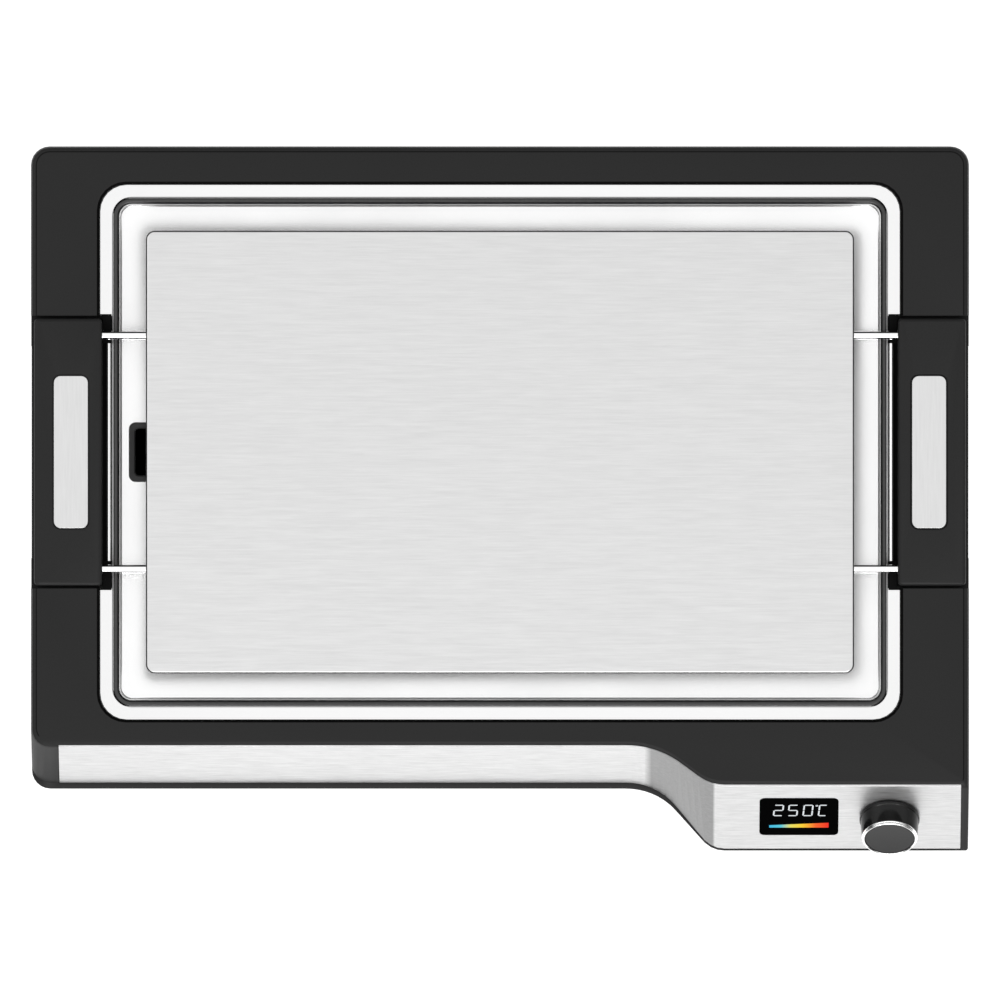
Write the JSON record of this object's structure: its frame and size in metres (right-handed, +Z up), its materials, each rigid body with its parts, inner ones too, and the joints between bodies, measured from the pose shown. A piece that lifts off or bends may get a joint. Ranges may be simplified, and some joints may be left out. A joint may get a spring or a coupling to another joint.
{
  "type": "electric griddle",
  "caption": "Table-top electric griddle: lift-off flat cooking plate on side handles over a rimmed drip tray, in an open moulded base with a stepped front, display and push-turn knob.",
  "frame": {"origin": "middle of the footprint, on the worktop under the feet", "axes": "+Z up, -Y towards the control panel at the front, +X along the plate's long side to the operator's right"},
  "size_m": [0.53, 0.4007, 0.0668],
  "materials": {
    "black_plastic": "satin black moulding, fine texture",
    "gloss_black": "gloss black",
    "brushed_steel": "fine horizontal brush",
    "tray_steel": "polished pressed steel",
    "chrome": "mirror chrome",
    "plate_metal": "steel-clad aluminium, fine brush along the plate",
    "aluminium": "satin",
    "knob_cap_grey": "satin dark grey",
    "display_glass": "dark gloss window with lit read-out",
    "rubber": "matt",
    "circuit_board": "solder mask",
    "ceramic": "heat-proof ceramic, matt",
    "relay_blue": "moulded case",
    "sleeve": "glass-fibre sleeve",
    "cable": "insulated wire",
    "screw_steel": "zinc plated"
  },
  "bodies": {
    "base": {"base_frame": "black_plastic", "bottom_cover": "black_plastic", "contact_socket": "ceramic", "control_board": "circuit_board", "cover_screw_back_left": "screw_steel", "cover_screw_back_right": "screw_steel", "cover_screw_front_left": "screw_steel", "cover_screw_front_right": "screw_steel", "display_module": "black_plastic", "display_window": "display_glass", "encoder_body": "aluminium", "encoder_nut": "screw_steel", "foot_back_left": "rubber", "foot_back_right": "rubber", "foot_front_left": "rubber", "foot_front_right": "rubber", "front_fascia": "brushed_steel", "heater_harness": "sleeve", "heater_relay": "relay_blue", "mains_harness": "cable", "mains_inlet": "black_plastic", "power_board": "circuit_board", "tray_stop_bar_left": "chrome", "tray_stop_bar_right": "chrome"},
    "drip_tray_unit": {"drip_tray": "tray_steel", "drain_funnel": "black_plastic", "cup_rail_back": "tray_steel", "cup_rail_front": "tray_steel"},
    "grease_cup": {"grease_cup": "black_plastic"},
    "cooking_unit": {"bracket_screw_left_back": "screw_steel", "bracket_screw_left_front": "screw_steel", "bracket_screw_right_back": "screw_steel", "bracket_screw_right_front": "screw_steel", "contact_plug": "ceramic", "cooking_plate": "plate_metal", "element_cover": "tray_steel", "handle_cover_left": "black_plastic", "handle_cover_right": "black_plastic", "handle_inlay_left": "brushed_steel", "handle_inlay_right": "brushed_steel", "handle_rod_left_back": "chrome", "handle_rod_left_front": "chrome", "handle_rod_right_back": "chrome", "handle_rod_right_front": "chrome", "handle_screw_left": "screw_steel", "handle_screw_right": "screw_steel", "handle_shell_left": "black_plastic", "handle_shell_right": "black_plastic", "heater_lead_back": "sleeve", "heater_lead_front": "sleeve", "heating_element": "aluminium", "plate_bracket_left": "aluminium", "plate_bracket_right": "aluminium", "temperature_sensor": "ceramic", "thermal_cutout": "ceramic"},
    "knob_plunger": {"encoder_plunger": "black_plastic"},
    "knob": {"knob_body": "gloss_black", "knob_ring": "chrome", "knob_cap": "knob_cap_grey", "encoder_shaft": "aluminium"}
  },
  "joints": [
    {"name": "tray_lift", "type": "slide", "parent": "base", "child": "drip_tray_unit", "axis": [0, 0, 1], "range_m": [0, 0.12]},
    {"name": "cooking_unit_lift", "type": "slide", "parent": "drip_tray_unit", "child": "cooking_unit", "axis": [0, 0, 1], "range_m": [0, 0.12]},
    {"name": "grease_cup_slide", "type": "slide", "parent": "drip_tray_unit", "child": "grease_cup", "axis": [1, 0, 0], "range_m": [0, 0.07]},
    {"name": "knob_push", "type": "slide", "parent": "base", "child": "knob_plunger", "axis": [0, 0.809, -0.5878], "range_m": [0, 0.0008], "stiffness_N_per_m": 1500, "springref_m": -0.001},
    {"name": "knob_turn", "type": "hinge", "parent": "knob_plunger", "child": "knob", "pos_m": [0.2203, -0.17836, 0.03525], "axis": [0, -0.809, 0.5878], "continuous": true}
  ]
}
